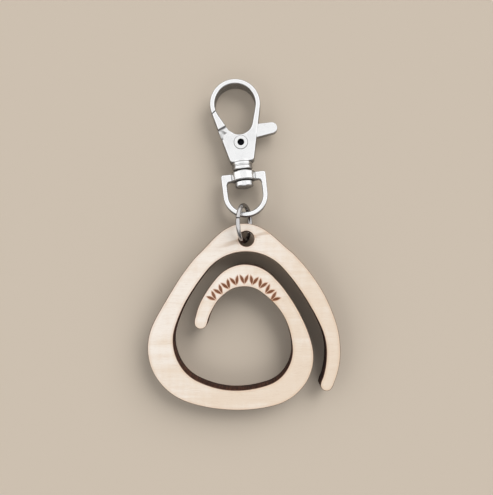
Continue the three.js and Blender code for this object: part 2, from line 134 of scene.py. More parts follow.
class StitchRowSettings(bpy.types.PropertyGroup):
    """The row of knit stitches burned along the arm, on a chain of arcs like the wood's own."""

    start_x: length_property("Start X", 9.0, "Right end of the row, to the right of the hole")
    start_y: length_property("Start Y", -17.8, "Right end of the row, up from the hole")
    heading: angle_property("Heading", 122, "Direction in which the row sets out")
    pitch: length_property("Pitch", 2.55, "From one stitch to the next")
    height: length_property("Height", 2.7, "Height of a stitch across the arm")
    stroke: length_property("Stroke", 0.86, "Width of each leg of a stitch")
    lean: angle_property("Lean", 19, "Of each leg of a stitch from upright")
    burn: colour_property("Burn", 0x6E3A1C, "Burned wood of the stitches")
    halo: colour_property("Halo", 0xC98A58, "Browned wood round the stitches")


class MetalSettings(bpy.types.PropertyGroup):
    """Nickel plate, steel and how they are finished."""

    nickel: colour_property("Nickel", 0xF1F1F1, "Bright nickel plate")
    cloud: colour_property("Cloud", 0xDFDFE0, "Duller patches of the plate")
    # Painted shade: this dark colour darkens the plate where other pieces stop the rays and along seams
    # and grooves, standing in for shade, besides residue in the joints.
    grime_and_shade: colour_property("Grime", 0x3B322C, "Dull dirt where pieces meet")
    ring_steel: colour_property("Ring steel", 0xC6C4C4, "Plated steel wire of the jump ring")
    pin_steel: colour_property("Pin steel", 0x1E1E22, "Dark end of the pivot pin")
    spring_steel: colour_property("Spring steel", 0xA7A8AB, "Wire of the gate spring")
    gloss: share_property("Roughness", 0.2, "Roughness of clean plate")
    ring_gloss: share_property("Ring roughness", 0.15, "Roughness of the jump ring's wire")
    edge: length_property("Edge", 0.06, "Rounding of the castings' sharp edges")
    wire_sides: IntProperty(
        name="Wire sides",
        description="Points round the jump ring's wire",
        default=24,
        min=8,
    )
    wire_steps: IntProperty(
        name="Wire steps",
        description="Points along the jump ring",
        default=180,
        min=24,
    )


class StageSettings(bpy.types.PropertyGroup):
    """Floor, light and camera."""

    floor: colour_property("Floor", 0xCBBEAE, "Plain pale floor")
    # Painted reflection: the floor as the metal shows it, darkened to stand in for the floor's shade
    # round the holder.
    floor_shade: colour_property("Card", 0x8D8377, "Darker card by the floor, which only the metal shows")
    key: FloatProperty(
        name="Key light",
        description="Light from the wide far lamp at the upper right, in watts per square metre",
        default=1.74,
    )
    key_width: angle_property("Key width", 46, "Width of that lamp, seen from the holder")
    sky: FloatProperty(
        name="Sky",
        description="Brightness of the sky half way up",
        default=1.2,
    )
    zenith: share_property("Zenith", 0.02, "Brightness of the sky straight overhead")
    horizon: share_property("Horizon", 0.41, "Brightness of the sky at the horizon")
    crown: FloatProperty(
        name="Crown",
        description="Brightest part of the backdrop that the metal shows, straight overhead",
        default=1.13,
    )
    backdrop: share_property("Backdrop", 0.94, "The same backdrop, round its crown")
    backdrop_side: FloatProperty(
        name="Backdrop side",
        description="The same, round the sides",
        default=1.22,
    )
    shade: share_property("Shade", 0.12, "Dark side of the backdrop, on the camera's side")
    camera_height: length_property("Camera height", 143, "Of the lens above the floor")
    camera_x: length_property("Camera X", 2.73, "Place of the lens across the holder")
    camera_y: length_property("Camera Y", -6.68, "Place of the lens along the holder")


class Socket:
    """One output of a shader node, so that masks are written as Python expressions."""

    def __init__(self, paint, source):
        self.paint = paint
        self.source = source

    def _math(self, operation, first, second=None):
        operands = {0: first} if second is None else {0: first, 1: second}
        return self.paint.node("Math", {"operation": operation}, operands)

    def __add__(self, other):
        return self._math("ADD", self, other)

    def __sub__(self, other):
        return self._math("SUBTRACT", self, other)

    def __rsub__(self, other):
        return self._math("SUBTRACT", other, self)

    def __mul__(self, other):
        return self._math("MULTIPLY", self, other)

    def __truediv__(self, other):
        return self._math("DIVIDE", self, other)

    def __rtruediv__(self, other):
        return self._math("DIVIDE", other, self)

    def __mod__(self, other):
        return self._math("FLOORED_MODULO", self, other)

    def __rmod__(self, other):
        return self._math("FLOORED_MODULO", other, self)

    def __pow__(self, other):
        return self._math("POWER", self, other)

    def __rpow__(self, other):
        return self._math("POWER", other, self)

    def __abs__(self):
        return self._math("ABSOLUTE", self)

    def lowest(self, other):
        return self._math("MINIMUM", self, other)

    def highest(self, other):
        return self._math("MAXIMUM", self, other)

    __radd__ = __add__
    __rmul__ = __mul__


class Paint:
    """A procedural material, and the one way in which its nodes are made."""

    def __init__(self, owner):
        owner.use_nodes = True
        self.owner = owner
        self.tree = owner.node_tree
        self.tree.nodes.clear()

    def node(self, kind, settings=None, inputs=None, output=0):
        """A node of a kind, such as Math, with its settings, its inputs by name and one output."""
        made = self.tree.nodes.new("ShaderNode" + kind)
        for name, value in (settings or {}).items():
            setattr(made, name, value)
        for name, value in (inputs or {}).items():
            self._feed(made.inputs[name], value)
        return Socket(self, made.outputs[output]) if made.outputs else None

    def _feed(self, target, value):
        if isinstance(value, Socket):
            self.tree.links.new(value.source, target)
        elif target.type == "RGBA":
            target.default_value = [*value, 1][:4]
        else:
            target.default_value = value

    def blend(self, share, first, second):
        """The first colour where the share is 0 and the second where it is 1."""
        settings = {"data_type": "RGBA", "clamp_factor": True}
        return self.node("Mix", settings, {"Factor": share, 6: first, 7: second}, output=2)

    def step(self, value, low, high):
        """A smooth step of a value from 0 at low to 1 at high."""
        settings = {"interpolation_type": "SMOOTHSTEP"}
        return self.node("MapRange", settings, {"Value": value, "From Min": low, "From Max": high})

    def place(self, stretch):
        """The surface's own place in millimetres, stretched along each axis."""
        point = self.node("TexCoord", output="Object")
        scale = [share / MM for share in stretch]
        return self.node("VectorMath", {"operation": "MULTIPLY"}, {0: point, 1: scale})

    def noise(self, stretch, detail, roughness=0.5):
        """Noise about one unit across, where stretch gives the units per millimetre."""
        inputs = {
            "Vector": self.place(stretch),
            "Scale": 1.0,
            "Detail": detail,
            "Roughness": roughness,
        }
        return self.node("TexNoise", {}, inputs)

    def mark(self, name):
        """A number stored at the mesh's points under a name."""
        return self.node("Attribute", {"attribute_name": name}, output="Fac")

    def about_axis(self, joint):
        """Distances in millimetres from a joint's axis, and along it from the joint's place."""
        point = self.node("TexCoord", output="Object")
        arm = self.node("VectorMath", {"operation": "SUBTRACT"}, {0: point, 1: joint["pos_m"]})
        turned = self.node("VectorMath", {"operation": "CROSS_PRODUCT"}, {0: arm, 1: joint["axis"]})
        across = self.node("VectorMath", {"operation": "LENGTH"}, {0: turned}, output="Value")
        inputs = {0: arm, 1: joint["axis"]}
        along = self.node("VectorMath", {"operation": "DOT_PRODUCT"}, inputs, output="Value")
        return across / MM, along / MM

    def band(self, value, low, high, soft):
        """1 between two limits, with soft sides."""
        return self.step(value, low - soft, low) * (1 - self.step(value, high, high + soft))

    def bump(self, height, depth):
        """Dents and ridges, where a height of 1 stands for a depth."""
        return self.node("Bump", {}, {"Height": height, "Distance": depth, "Strength": 1.0})

    def finish(self, inputs):
        """Ends the material in one shader with these inputs."""
        shader = self.node("BsdfPrincipled", {}, inputs)
        self.node("OutputMaterial", {}, {"Surface": shader})
        return self.owner


def scene_settings(kind):
    return getattr(bpy.context.scene, "marker_holder_" + kind)


def link_piece(name, mesh):
    """A new object in the scene for a mesh."""
    piece = bpy.data.objects.new(name, mesh)
    bpy.context.scene.collection.objects.link(piece)
    return piece


def stand_for(piece, node, body, material):
    """The piece takes a CAD node's place, rides on its body and gets its finish."""
    piece.data.materials.clear()
    piece.data.materials.append(material)
    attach(piece, body)
    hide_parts(node)
    return piece


def welded(node):
    """A CAD node's surface, with the corners that its faces share made one."""
    surface = bmesh.new()
    surface.from_mesh(frame["nodes"][node].data)
    bmesh.ops.remove_doubles(surface, verts=surface.verts, dist=WELD)
    surface.normal_update()
    return surface


def mesh_from(surface, name):
    mesh = bpy.data.meshes.new(name)
    surface.to_mesh(mesh)
    surface.free()
    for polygon in mesh.polygons:
        polygon.use_smooth = True
    return mesh


def applied(piece):
    """The piece with its modifiers made part of its mesh."""
    shown = piece.evaluated_get(bpy.context.evaluated_depsgraph_get())
    mesh = bpy.data.meshes.new_from_object(shown)
    mesh.name = piece.name
    piece.modifiers.clear()
    piece.data = mesh
    return piece


def joint_named(name):
    joints = frame["record"]["behaviour"]["joints"]
    return next(joint for joint in joints if joint["name"] == name)


def body_of(node):
    """The name of the CAD body that a node belongs to."""
    bodies = frame["record"]["behaviour"]["bodies"]
    return next(body for body, nodes in bodies.items() if node in nodes)


class PlateFrame:
    """The spiral's own axes: its face's normal, and the hanging hole's middle as the origin."""

    def __init__(self, surface):
        face = max(surface.faces, key=lambda f: f.calc_area() if f.normal.z > 0 else 0)
        self.out = np.array(face.normal)
        self.along = np.cross(self.out, (1, 0, 0))
        self.along /= np.linalg.norm(self.along)
        self.across = np.cross(self.along, self.out)
        self.axes = np.array((self.across, self.along, self.out))
        self.origin = np.zeros(3)

    def inside(self, points):
        """Points of the row frame, in the plate's axes."""
        return (np.asarray(points) - self.origin) @ self.axes.T

    def outside(self, points):
        """Points in the plate's axes, in the row frame."""
        return np.asarray(points) @ self.axes + self.origin


def rim_loops(surface, out):
    """Closed loops of corners round the faces that look along a direction, the longest first."""
    direction = Vector(out)
    facing = {face for face in surface.faces if face.normal.dot(direction) > 0.99}
    links = {}
    for edge in surface.edges:
        if sum(face in facing for face in edge.link_faces) == 1:
            for corner, other in (edge.verts, reversed(edge.verts)):
                links.setdefault(corner, []).append(other)
    loops = []
    while links:
        start, (corner, _) = next(iter(links.items()))
        loop = [start]
        while corner != start:
            ahead = links[corner]
            following = ahead[0] if ahead[1] == loop[-1] else ahead[1]
            loop.append(corner)
            corner = following
        for corner in loop:
            del links[corner]
        loops.append(np.array([corner.co for corner in loop]))
    return sorted(loops, key=len, reverse=True)


def signed_area(loop):
    x, y = loop.T
    return 0.5 * np.sum(x * np.roll(y, -1) - y * np.roll(x, -1))


def smooth_loop(loop, step):
    """A closed loop through the same corners, with a point at about each step of its length."""
    after = np.roll(loop, -1, axis=0)
    span = np.linalg.norm(after - loop, axis=1)
    before = np.roll(span, 1)
    slope = (after - loop) / span[:, None]
    coming = np.roll(slope, 1, axis=0)
    tangent = (coming * span[:, None] + slope * before[:, None]) / (span + before)[:, None]
    next_tangent = np.roll(tangent, -1, axis=0)
    points = []
    for i, size in enumerate(span):
        count = max(1, math.ceil(size / step))
        t = (np.arange(count) / count)[:, None]
        start = (2 * t**3 - 3 * t**2 + 1) * loop[i] + (t**3 - 2 * t**2 + t) * size * tangent[i]
        end = (3 * t**2 - 2 * t**3) * after[i] + (t**3 - t**2) * size * next_tangent[i]
        points.append(start + end)
    return np.vstack(points)


def inset(loop, distance):
    """A loop moved to the left of its direction, which is into the wood."""
    ahead = np.roll(loop, -1, axis=0) - np.roll(loop, 1, axis=0)
    ahead /= np.linalg.norm(ahead, axis=1)[:, None]
    return loop + distance * np.column_stack((-ahead[:, 1], ahead[:, 0]))


def is_inside(points, loops):
    """Which points lie inside an odd number of loops."""
    odd = np.zeros(len(points), bool)
    x, y = points.T
    for loop in loops:
        for (ax, ay), (bx, by) in zip(loop, np.roll(loop, -1, axis=0)):
            spans = (ay > y) != (by > y)
            if spans.any():
                odd ^= spans & (x < ax + (y - ay) * (bx - ax) / (by - ay))
    return odd


def distance_to(points, loops):
    """Each point's distance to the nearest stretch of the loops."""
    least = np.full(len(points), np.inf)
    for loop in loops:
        for start, end in zip(loop, np.roll(loop, -1, axis=0)):
            run = end - start
            share = np.clip((points - start) @ run / (run @ run), 0, 1)
            least = np.minimum(least, np.linalg.norm(points - start - share[:, None] * run, axis=1))
    return least


RIM_INSETS = (0.16 * MM, 0.35 * MM, 0.65 * MM)


def face_net(loops, edge, cell):
    """Points and triangles of a flat face inside its loops, whose own points come first."""
    rims = [inset(loop, edge) for loop in loops]
    points = np.vstack(rims)
    borders = []
    first = 0
    for rim in rims:
        ring = np.arange(first, first + len(rim))
        borders += list(zip(ring.tolist(), np.roll(ring, -1).tolist()))
        first += len(rim)
    low, high = points.min(axis=0), points.max(axis=0)
    across, along = np.meshgrid(*(np.arange(a, b, cell) for a, b in zip(low, high)))
    across[1::2] += cell / 2
    grid = np.column_stack((across.ravel(), along.ravel()))
    grid = grid[is_inside(grid, rims)]
    grid = grid[distance_to(grid, loops) > RIM_INSETS[-1] + cell / 2]
    inner = [inset(loop, edge + distance) for loop in loops for distance in RIM_INSETS]
    points = np.vstack((points, *inner, grid))
    net = delaunay_2d_cdt([Vector(p) / MM for p in points], borders, [], 0, 1e-5)
    corners = np.array([tuple(p) for p in net[0]]) * MM
    triangles = np.array(net[2])
    middles = corners[triangles].mean(axis=1)
    triangles = triangles[is_inside(middles, rims)]
    places = {source: i for i, sources in enumerate(net[3]) for source in sources}
    return corners, triangles, [places[i] for i in range(first)]


def store(mesh, name, values):
    """Keeps a number at each of the mesh's points under a name."""
    layer = mesh.attributes.new(name, "FLOAT", "POINT")
    layer.data.foreach_set("value", np.asarray(values, np.float32))


ROW_ARCS = ((28.2 * MM, 10), (8.7 * MM, 78), (19.1 * MM, 24))
ROW_STEP = 0.25 * MM


def row_line(settings):
    """Points along the row of stitches, in the plate's axes."""
    point = np.array((settings.start_x, settings.start_y))
    heading = settings.heading
    line = [point]
    for radius, sweep in ROW_ARCS:
        length = radius * math.radians(sweep)
        count = math.ceil(length / ROW_STEP)
        for _ in range(count):
            turn = math.radians(sweep) / count
            heading += turn / 2
            point = point + length / count * np.array((math.cos(heading), math.sin(heading)))
            heading += turn / 2
            line.append(point)
    return np.array(line)


def along_row(points, line):
    """How far along and across the row of stitches each point lies."""
    best = np.full(len(points), np.inf)
    along = np.zeros(len(points))
    across = np.zeros(len(points))
    passed = 0.0
    last = len(line) - 2
    for i, (start, end) in enumerate(zip(line, line[1:])):
        run = end - start
        size = np.linalg.norm(run)
        reach = (points - start) @ run / size
        near = reach if i == 0 else np.maximum(reach, 0)
        near = near if i == last else np.minimum(near, size)
        side = (points - start) @ np.array((-run[1], run[0])) / size
        apart = np.linalg.norm(points - start - np.outer(near / size, run), axis=1)
        closer = apart < best
        best[closer] = apart[closer]
        along[closer] = passed + near[closer]
        across[closer] = side[closer]
        passed += size
    return along, across


def wood_mesh(settings, row):
    """The spiral with fine outlines and rounded edges, and what its finish reads at each point."""
    surface = welded("wood_spiral")
    plate = PlateFrame(surface)
    corner_loops = rim_loops(surface, plate.out)
    surface.free()
    plate.origin = corner_loops[1].mean(axis=0)
    flat = [plate.inside(loop)[:, :2] for loop in corner_loops]
    signs = (1, -1)
    flat = [loop if signed_area(loop) * sign > 0 else loop[::-1] for loop, sign in zip(flat, signs)]
    fine = [smooth_loop(loop, settings.step) for loop in flat]
    corners, triangles, rim = face_net(fine, settings.edge, settings.cell)
    thickness = plate.inside(frame_points("wood_spiral"))[:, 2].ptp()
    outline = np.vstack(fine)
    heights = (0, -settings.edge, settings.edge - thickness, -thickness)
    layers = [corners, outline, outline, corners]
    points = np.vstack([np.column_stack((p, np.full(len(p), z))) for p, z in zip(layers, heights)])
    firsts = np.cumsum([0] + [len(layer) for layer in layers])
    rim = np.array(rim)
    rows = [rim, firsts[1] + np.arange(len(rim)), firsts[2] + np.arange(len(rim)), firsts[3] + rim]
    faces = triangles.tolist() + (triangles[:, ::-1] + firsts[3]).tolist()
    begin = 0
    for loop in fine:
        ring = np.arange(begin, begin + len(loop))
        after = np.roll(ring, -1)
        for upper, lower in zip(rows, rows[1:]):
            quads = np.column_stack((lower[ring], lower[after], upper[after], upper[ring]))
            faces += quads.tolist()
        begin += len(loop)
    mesh = bpy.data.meshes.new("wood_plate")
    mesh.from_pydata(plate.outside(points).tolist(), [], faces)
    mesh.validate()
    for polygon in mesh.polygons:
        polygon.use_smooth = True
    along, across = along_row(corners, row_line(row))
    nothing = np.zeros(len(outline))
    edge = distance_to(corners, fine)
    store(mesh, "from_edge", np.concatenate((edge, nothing, nothing, edge)))
    store(mesh, "wall", np.repeat((0, 1, 1, 0), [len(layer) for layer in layers]))
    store(mesh, "back", np.repeat((0, 0, 1, 1), [len(layer) for layer in layers]))
    store(mesh, "row_along", np.concatenate((along, nothing, nothing, along * 0)))
    far = np.ones(len(corners))
    store(mesh, "row_across", np.concatenate((across, nothing + 1, nothing + 1, far)))
    store(mesh, "plate_across", points[:, 0])
    store(mesh, "plate_along", points[:, 1])
    return mesh


def frame_points(node):
    """The corners of a CAD node, in the row frame."""
    vertices = frame["nodes"][node].data.vertices
    return np.array([vertex.co for vertex in vertices])


def row_length():
    return sum(radius * math.radians(sweep) for radius, sweep in ROW_ARCS)


def stitch_mask(paint, row):
    """Leaf shapes of the knit stitches, 0 on their midline and 1 at their edge, and the row's ends."""
    along = paint.mark("row_along") / MM
    across = paint.mark("row_across") / MM
    pitch = row.pitch / MM
    height = row.height / MM
    stroke = row.stroke / MM
    count = math.floor(row_length() / row.pitch)
    start = (row_length() / MM - count * pitch) / 2
    local = (along - start) % pitch - pitch / 2
    lean_sine = math.sin(row.lean)
    lean_cosine = math.cos(row.lean)
    apart = height / 2 * lean_sine + stroke / 8
    legs = []
    for side in (-1, 1):
        shifted = local - side * apart
        sideways = shifted * lean_cosine + across * (side * lean_sine)
        lengthways = across * lean_cosine - shifted * (side * lean_sine)
        legs.append(abs(sideways) / (stroke / 2) + (lengthways / (height / 2)) ** 2)
    leaf = legs[0].lowest(legs[1])
    ends = paint.step(along, start - 0.02, start + 0.02) * paint.step(
        along, start + count * pitch + 0.02, start + count * pitch - 0.02
    )
    return leaf, ends


def wood_material(wood, row):
    """Pale wood with thin horizontal fibres, browned beside its cuts and charred on them."""
    paint = Paint(bpy.data.materials.new("laser_cut_wood"))
    clouds = paint.noise((0.05, 0.16, 0.1), 3.0)
    bands = paint.noise((0.03, 0.6, 0.3), 4.0, 0.6)
    fibres = paint.noise((0.3, 6.5, 2.0), 3.0, 0.6)
    pores = paint.noise((0.8, 11.0, 3.0), 1.0)
    curl = paint.noise((0.55, 0.1, 0.2), 2.0)
    across = paint.mark("plate_across") / MM
    along = paint.mark("plate_along") / MM
    drift = (across - along) * 0.0035
    tone = clouds * 0.45 + bands * 0.35 + curl * 0.2 + drift
    face = paint.blend(paint.step(tone, 0.42, 0.72), wood.pale, wood.warm)
    face = paint.blend(paint.step(fibres, 0.5, 0.8) * 0.26, face, wood.fibre)
    face = paint.blend(paint.step(pores, 0.62, 0.72) * 0.22, face, wood.fibre)
    bent = along - across * 0.3 + (bands - 0.5) * 3.0 + (clouds - 0.5) * 2.0
    near_hole = 1 - paint.step(abs(across), 3.0, 10.0)
    growth = (1 - paint.step(abs(bent), 0.1, 0.9)) * near_hole
    face = paint.blend(growth * 0.45, face, wood.growth)
    from_edge = paint.mark("from_edge") / MM + (clouds - 0.5) * 0.12 + (fibres - 0.5) * 0.06
    back = paint.mark("back")
    warmth = (1 - paint.step(from_edge, 0.0, 1.1 + back * 1.9)) * (0.28 + back * 0.2)
    face = paint.blend(warmth, face, wood.glow)
    face = paint.blend(1 - paint.step(from_edge, 0.04, 0.2 + back * 0.36), face, wood.scorch)
    leaf, ends = stitch_mask(paint, row)
    leaf = leaf + (fibres - 0.5) * 0.3
    burned = (1 - paint.step(leaf, 0.72, 1.0)) * ends
    browned = (1 - paint.step(leaf, 0.9, 1.7)) * ends
    face = paint.blend(browned * 0.6, face, row.halo)
    face = paint.blend(burned * (0.75 + bands * 0.3), face, row.burn)
    streaks = paint.noise((3.2, 3.2, 0.12), 3.0, 0.65)
    smoke = paint.noise((0.35, 0.35, 0.5), 2.0)
    wall_tone = paint.step(streaks * 0.7 + smoke * 0.3, 0.4, 0.68)
    walls = paint.blend(wall_tone, wood.char, wood.ember)
    wall = paint.mark("wall")
    height = (fibres * 0.35 - pores * 0.3) * (1 - wall) + streaks * wall * 1.4 - burned * 1.2
    return paint.finish(
        {
            "Base Color": paint.blend(wall, face, walls),
            "Roughness": 0.58 + fibres * 0.12 + wall * 0.2 + burned * 0.1,
            "Normal": paint.bump(height, 0.05 * MM),
            "Specular IOR Level": 0.3,
        }
    )


SEAMS = (("gate", 1.84, 9.0), ("hook_swivel", 3.46, 1.2))
NECK_SHADE_LINES = (2.65, 3.75)
NECK_REACH = 3.2
ARM_END = (-4.45, 13.75)
ARM_END_SLOPE = math.radians(22.6)
ARM_END_HALF = 1.3


def arm_end_shadow_line(paint):
    """A mask of the painted shadow line where the gate arm's full depth ends, square to the arm."""
    swivel = joint_named("hook_swivel")
    along = Vector(swivel["axis"])
    right = Vector(joint_named("gate")["axis"]).cross(along).normalized()
    end = Vector(swivel["pos_m"]) + (ARM_END[0] * right + ARM_END[1] * along) * MM
    line = math.cos(ARM_END_SLOPE) * right + math.sin(ARM_END_SLOPE) * along
    past = math.sin(ARM_END_SLOPE) * right - math.cos(ARM_END_SLOPE) * along
    point = paint.node("TexCoord", output="Object")
    arm = paint.node("VectorMath", {"operation": "SUBTRACT"}, {0: point, 1: end})
    reaches = []
    for direction in (line, past):
        inputs = {0: arm, 1: direction}
        reach = paint.node("VectorMath", {"operation": "DOT_PRODUCT"}, inputs, output="Value")
        reaches.append(reach / MM)
    beside = 1 - paint.step(abs(reaches[0]), ARM_END_HALF, ARM_END_HALF + 0.1)
    return paint.band(reaches[1], -0.02, 0.12, 0.04) * beside


def plated_material(name, shade, cloud, gloss, grime_and_shade):
    """Bright plate, a little cloudy, with fine rubbed scratches, and painted shade where pieces meet,
    along the seams, on the neck's grooves and at the gate arm's end.
    """
    paint = Paint(bpy.data.materials.new(name))
    clouds = paint.noise((0.3, 0.3, 0.3), 3.0, 0.6)
    skin = paint.noise((1.1, 1.1, 1.1), 1.0)
    rubbed = paint.noise((13, 13, 13), 2.0, 0.7)
    scratches = paint.step(paint.noise((1.8, 14, 9), 1.0), 0.66, 0.72)
    dull = paint.step(clouds, 0.45, 0.75)
    # Painted shade: darker where the rays above a face are stopped by other pieces.
    shade_and_dirt = paint.step(paint.mark("tucked") + (skin - 0.5) * 0.2, 0.5, 0.85)
    # Dark rings at the pin's rim and the hub's gap: partly residue in the joint, partly painted shade in
    # the gap.
    for joint, radius, half_length in SEAMS:
        across, along = paint.about_axis(joint_named(joint))
        seam = paint.band(across, radius, radius + 0.1, 0.06)
        seam = seam * (1 - paint.step(abs(along), half_length, half_length + 0.2))
        shade_and_dirt = shade_and_dirt.highest(seam * (0.55 + skin * 0.5))
    # Painted shade: dark lines on the neck where its grooves and step would shade.
    across, along = paint.about_axis(joint_named("hook_swivel"))
    on_neck = 1 - paint.step(across, NECK_REACH, NECK_REACH + 0.1)
    for place in NECK_SHADE_LINES:
        line = paint.band(along, place - 0.06, place + 0.06, 0.08)
        shade_and_dirt = shade_and_dirt.highest(line * on_neck * 0.8)
    # Painted shadow along the step where the gate arm's full depth ends.
    shade_and_dirt = shade_and_dirt.highest(arm_end_shadow_line(paint) * 0.8)
    plate = paint.blend(dull * 0.5, shade, cloud)
    return paint.finish(
        {
            "Base Color": paint.blend(shade_and_dirt * 0.94, plate, grime_and_shade),
            "Metallic": 1.0,
            "Roughness": gloss + dull * 0.05 + scratches * 0.08 + rubbed * 0.04 + shade_and_dirt * 0.3,
            "Normal": paint.bump(skin * 0.5 + rubbed * 0.1 - scratches * 0.1, 0.01 * MM),
        }
    )


def steel_material(name, shade, roughness, stretch):
    """Bare steel with the marks of turning or drawing."""
    paint = Paint(bpy.data.materials.new(name))
    marks = paint.noise(stretch, 3.0, 0.65)
    darker = [part * 0.6 for part in shade]
    return paint.finish(
        {
            "Base Color": paint.blend(paint.step(marks, 0.35, 0.7), shade, darker),
            "Metallic": 1.0,
            "Roughness": roughness + marks * 0.15,
            "Normal": paint.bump(marks, 0.01 * MM),
        }
    )


def shared_material(name, make):
    """A material that several operators use, made by the first."""
    return bpy.data.materials.get(name) or make()


def plate_finish(name, shade, cloud, gloss):
    """One of the plated finishes, which all get the same painted shade where pieces meet."""
    grime_and_shade = scene_settings("metal").grime_and_shade
    return shared_material(name, lambda: plated_material(name, shade, cloud, gloss, grime_and_shade))


def nickel():
    metal = scene_settings("metal")
    return plate_finish("nickel_plate", metal.nickel, metal.cloud, metal.gloss)


TUCK_REACH = 2.2 * MM
TUCK_START = 0.03 * MM
TUCK_RAYS = 28
TUCK_BEND = 0.95


def round_directions(count):
    """Directions spread evenly over a sphere."""
    golden = math.pi * (3 - math.sqrt(5))
    directions = []
    for i in range(count):
        height = 1 - (2 * i + 1) / count
        reach = math.sqrt(1 - height**2)
        directions.append(Vector((math.cos(golden * i) * reach, math.sin(golden * i) * reach, height)))
    return directions


def frame_tree():
    """The surfaces of all the CAD nodes, for ray tests."""
    corners = []
    faces = []
    for shape in frame["nodes"].values():
        first = len(corners)
        corners += [vertex.co.copy() for vertex in shape.data.vertices]
        faces += [[first + i for i in polygon.vertices] for polygon in shape.data.polygons]
    return BVHTree.FromPolygons(corners, faces)


def stopped_share(tree, start, normal, directions):
    """The share of the rays above a face that meet another surface."""
    stopped = 0
    for direction in directions:
        ray = direction if direction.dot(normal) > 0 else -direction
        stopped += tree.ray_cast(start, ray, TUCK_REACH)[0] is not None
    return stopped / len(directions)


def mark_tucked(piece, tree):
    """Stores how far each face is tucked in between pieces: the share of rays that are stopped."""
    mesh = piece.data
    directions = round_directions(TUCK_RAYS)
    totals = np.zeros(len(mesh.polygons))
    areas = np.zeros(len(mesh.polygons))
    mesh.calc_loop_triangles()
    for triangle in mesh.loop_triangles:
        middle = sum((mesh.vertices[i].co for i in triangle.vertices), Vector()) / 3
        start = middle + TUCK_START * triangle.normal
        share = stopped_share(tree, start, triangle.normal, directions)
        totals[triangle.polygon_index] += share * triangle.area
        areas[triangle.polygon_index] += triangle.area
    shares = totals / np.maximum(areas, WELD**2)
    around = [[] for _ in mesh.vertices]
    for polygon in mesh.polygons:
        for corner in polygon.vertices:
            around[corner].append(polygon.index)
    normals = [polygon.normal.copy() for polygon in mesh.polygons]
    values = []
    for polygon in mesh.polygons:
        for corner in polygon.vertices:
            alike = [i for i in around[corner] if normals[i].dot(normals[polygon.index]) > TUCK_BEND]
            alike = alike or [polygon.index]
            values.append(np.average(shares[alike], weights=areas[alike] + WELD**2))
    layer = mesh.attributes.new("tucked", "FLOAT", "CORNER")
    layer.data.foreach_set("value", np.array(values, np.float32))


FLAT = math.radians(0.6)
SHARP = math.radians(35)


def casting(name, node):
    """A CAD casting with its sharp edges broken, shaded smooth over its curves."""
    surface = welded(node)
    bmesh.ops.dissolve_limit(
        surface, angle_limit=FLAT, verts=surface.verts, edges=surface.edges, delimit=set()
    )
    piece = link_piece(name, mesh_from(surface, name))
    edge = piece.modifiers.new("broken_edges", "BEVEL")
    edge.width = scene_settings("metal").edge
    edge.segments = 2
    edge.limit_method = "ANGLE"
    edge.angle_limit = SHARP
    edge.miter_outer = "MITER_ARC"
    shade = piece.modifiers.new("flat_faces_lead", "WEIGHTED_NORMAL")
    shade.weight = 90
    return applied(piece)


TURNED_REACH = 3.5 * MM
TURNED_TOP = 4.3 * MM
TURNED_CAP = 0.95
TURNED_MATCH = 0.97
FLAT_MATCH = 0.9995


def shade_true(piece):
    """Shades the clasp's flats flat, and its turned faces as true cylinders and cones."""
    mesh = piece.data
    swivel = joint_named("hook_swivel")
    axis = Vector(swivel["axis"])
    out = Vector(joint_named("gate")["axis"])
    arms = [vertex.co - Vector(swivel["pos_m"]) for vertex in mesh.vertices]
    normals = [corner.vector.copy() for corner in mesh.corner_normals]
    for polygon in mesh.polygons:
        if abs(polygon.normal.dot(out)) > FLAT_MATCH:
            for index in polygon.loop_indices:
                normals[index] = polygon.normal.copy()
        tilt = polygon.normal.dot(axis)
        if abs(tilt) > TURNED_CAP:
            continue
        outward = (polygon.normal - tilt * axis).normalized()
        corners = [arms[corner] for corner in polygon.vertices]
        spokes = [arm - arm.dot(axis) * axis for arm in corners]
        near = all(spoke.length < TURNED_REACH for spoke in spokes)
        low = all(arm.dot(axis) < TURNED_TOP for arm in corners)
        if near and low and all(spoke.normalized().dot(outward) > TURNED_MATCH for spoke in spokes):
            for index, spoke in zip(polygon.loop_indices, spokes):
                normals[index] = math.sqrt(1 - tilt**2) * spoke.normalized() + tilt * axis
    mesh.normals_split_custom_set(normals)


class MARKER_HOLDER_OT_wood(bpy.types.Operator):
    """Builds the laser-cut spiral with its burned row of knit stitches"""

    bl_idname = "marker_holder.wood"
    bl_label = "Wooden Spiral"

    def execute(self, context):
        wood = scene_settings("wood")
        row = scene_settings("stitch_row")
        piece = link_piece("wood_plate", wood_mesh(wood, row))
        stand_for(piece, "wood_spiral", "wood", wood_material(wood, row))
        return {"FINISHED"}


def ring_layout():
    """Middle, radius, wire radius and two axes of the jump ring; the first axis meets its cut."""
    surface = welded("jump_ring")
    points = np.array([vertex.co for vertex in surface.verts])
    bmesh.ops.dissolve_limit(
        surface, angle_limit=FLAT, verts=surface.verts, edges=surface.edges, delimit=set()
    )
    surface.faces.ensure_lookup_table()
    ends = sorted(surface.faces, key=lambda face: len(face.verts))[-2:]
    cut = np.mean([end.calc_center_median() for end in ends], axis=0)
    wire_radius = max((vertex.co - ends[0].calc_center_median()).length for vertex in ends[0].verts)
    surface.free()
    centred = points - points.mean(axis=0)
    rough_u, _, axis = np.linalg.svd(centred, full_matrices=False)[2]
    rough_v = np.cross(axis, rough_u)
    spread = [centred @ direction for direction in (rough_u, rough_v)]
    shift = [(reach.max() + reach.min()) / 2 for reach in spread]
    middle = points.mean(axis=0) + shift[0] * rough_u + shift[1] * rough_v
    towards = cut - middle
    radius = np.linalg.norm(towards)
    u = towards / radius
    return middle, radius, wire_radius, u, np.cross(axis, u)


CUT_HALF = 0.075 * MM
CUT_PINCH = ((0.0, 0.0), (0.0, 0.72), (0.05 * MM, 0.9), (0.14 * MM, 0.985))


